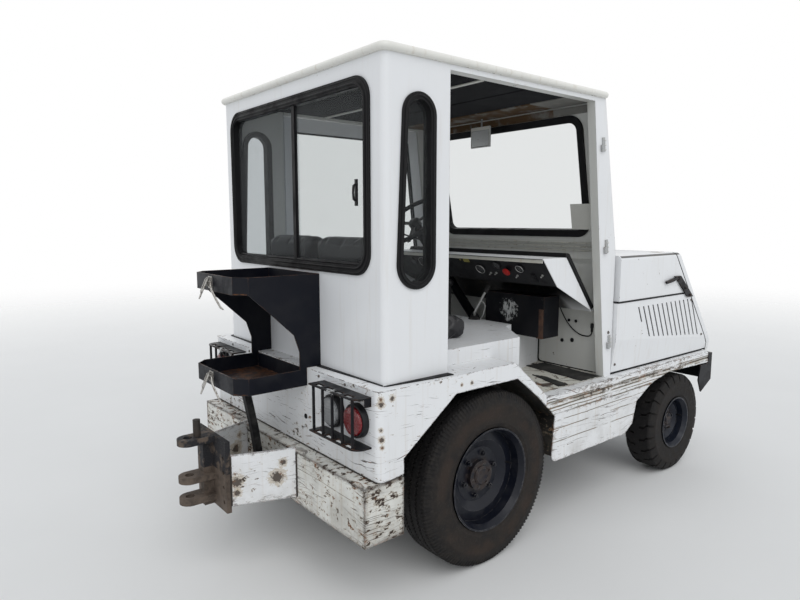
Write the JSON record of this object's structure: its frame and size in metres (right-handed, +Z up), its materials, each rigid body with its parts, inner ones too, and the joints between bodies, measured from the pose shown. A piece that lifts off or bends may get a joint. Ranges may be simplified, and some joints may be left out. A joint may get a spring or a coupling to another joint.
{
  "type": "airport baggage tow tractor",
  "caption": "Worn airport baggage tug with a half cab, sloped louvred bonnet, ballast bumper, tow hitch and tray carrier; its wheels, steering, bonnet and door move.",
  "frame": {"origin": "on the ground under the middle of the whole length, from the hitch's tips to the nose", "axes": "+X forward, +Y to the left, +Z up"},
  "size_m": [3.1536, 1.445, 2.12],
  "materials": {
    "white_paint": "worn gloss paint",
    "roof_paint": "chalky cream paint",
    "black_steel": "worn black paint",
    "bare_steel": "rusty steel",
    "rubber": "matt rubber",
    "tyre": "dusty tyre rubber",
    "glass": "tinted glass",
    "lens_red": "moulded red lens",
    "lens_clear": "moulded clear lens",
    "black_plastic": "matt moulded plastic",
    "vinyl": "black vinyl",
    "rim_paint": "dusty dark paint",
    "zinc": "dull plated steel",
    "grey_plastic": "grey moulded plastic",
    "engine_paint": "oily cast iron"
  },
  "bodies": {
    "root": {"chassis_frame": "black_steel", "rear_body": "white_paint", "rear_ballast": "white_paint", "tow_box": "white_paint", "hitch_bracket": "bare_steel", "hitch_pin": "bare_steel", "release_hose": "rubber", "tray_carrier": "black_steel", "tray_latches": "zinc", "tail_lamps": "lens_red", "reverse_lamps": "lens_clear", "lamp_guards": "black_steel", "side_panels": "white_paint", "cab_shell": "white_paint", "cab_front": "white_paint", "roof": "roof_paint", "window_rubbers": "rubber", "window_panes": "glass", "door_hinges": "white_paint", "floor_pan": "rubber", "seat_platform": "white_paint", "seat_cushions": "vinyl", "seat_backs": "vinyl", "dash_cowl": "white_paint", "instrument_panel": "black_plastic", "heater_box": "black_plastic", "steering_column": "black_steel", "driver_controls": "black_plastic", "bonnet_sides": "white_paint", "front_bumper": "black_steel", "headlamps": "lens_clear", "mirrors": "grey_plastic", "front_axle": "black_steel", "rear_axle": "black_steel", "engine": "engine_paint"},
    "bonnet": {"bonnet_lid": "white_paint", "nose_panel": "white_paint", "nose_grille": "black_steel", "lid_latches": "rubber"},
    "left_door": {"left_door": "white_paint", "left_door_pane": "glass"},
    "steering_wheel": {"steering_wheel": "black_plastic"},
    "left_knuckle": {"left_knuckle": "black_steel"},
    "right_knuckle": {"right_knuckle": "black_steel"},
    "tie_rod": {"tie_rod": "black_steel"},
    "front_left_wheel": {"front_left_rim": "rim_paint", "front_left_tyre": "tyre"},
    "front_right_wheel": {"front_right_rim": "rim_paint", "front_right_tyre": "tyre"},
    "rear_left_wheel": {"rear_left_rim": "rim_paint", "rear_left_tyre": "tyre"},
    "rear_right_wheel": {"rear_right_rim": "rim_paint", "rear_right_tyre": "tyre"}
  },
  "joints": [
    {"name": "left_steer", "type": "hinge", "parent": "root", "child": "left_knuckle", "pos_m": [1.1635, 0.48, 0.294], "axis": [0, 0, 1], "range_deg": [-35, 35]},
    {"name": "right_steer", "type": "hinge", "parent": "root", "child": "right_knuckle", "pos_m": [1.1635, -0.48, 0.294], "axis": [0, 0, 1], "range_deg": [-35, 35]},
    {"name": "tie_rod_end", "type": "hinge", "parent": "left_knuckle", "child": "tie_rod", "pos_m": [1.0135, 0.46, 0.256], "axis": [0, 0, 1], "range_deg": [-35, 35]},
    {"name": "steering_wheel_turn", "type": "hinge", "parent": "root", "child": "steering_wheel", "pos_m": [-0.0505, 0.3, 1.48], "axis": [-0.6428, 0, 0.766], "range_deg": [-420, 420]},
    {"name": "bonnet_hinge", "type": "hinge", "parent": "root", "child": "bonnet", "pos_m": [0.4895, 0, 1.318], "axis": [0, -1, 0], "range_deg": [0, 60]},
    {"name": "left_door_hinge", "type": "hinge", "parent": "root", "child": "left_door", "pos_m": [0.43312, 0.6795, 0.871], "axis": [0.1227, 0, -0.9924], "range_deg": [0, 75]},
    {"name": "front_left_spin", "type": "hinge", "parent": "left_knuckle", "child": "front_left_wheel", "pos_m": [1.1635, 0.6175, 0.294], "axis": [0, 1, 0], "continuous": true},
    {"name": "rear_left_spin", "type": "hinge", "parent": "root", "child": "rear_left_wheel", "pos_m": [-0.4815, 0.6175, 0.387], "axis": [0, 1, 0], "continuous": true},
    {"name": "front_right_spin", "type": "hinge", "parent": "right_knuckle", "child": "front_right_wheel", "pos_m": [1.1635, -0.6175, 0.294], "axis": [0, 1, 0], "continuous": true},
    {"name": "rear_right_spin", "type": "hinge", "parent": "root", "child": "rear_right_wheel", "pos_m": [-0.4815, -0.6175, 0.387], "axis": [0, 1, 0], "continuous": true}
  ],
  "couplings": [
    {"joint": "right_steer", "follows": "left_steer", "ratio": 1},
    {"joint": "tie_rod_end", "follows": "left_steer", "ratio": -1},
    {"joint": "steering_wheel_turn", "follows": "left_steer", "ratio": 12}
  ]
}
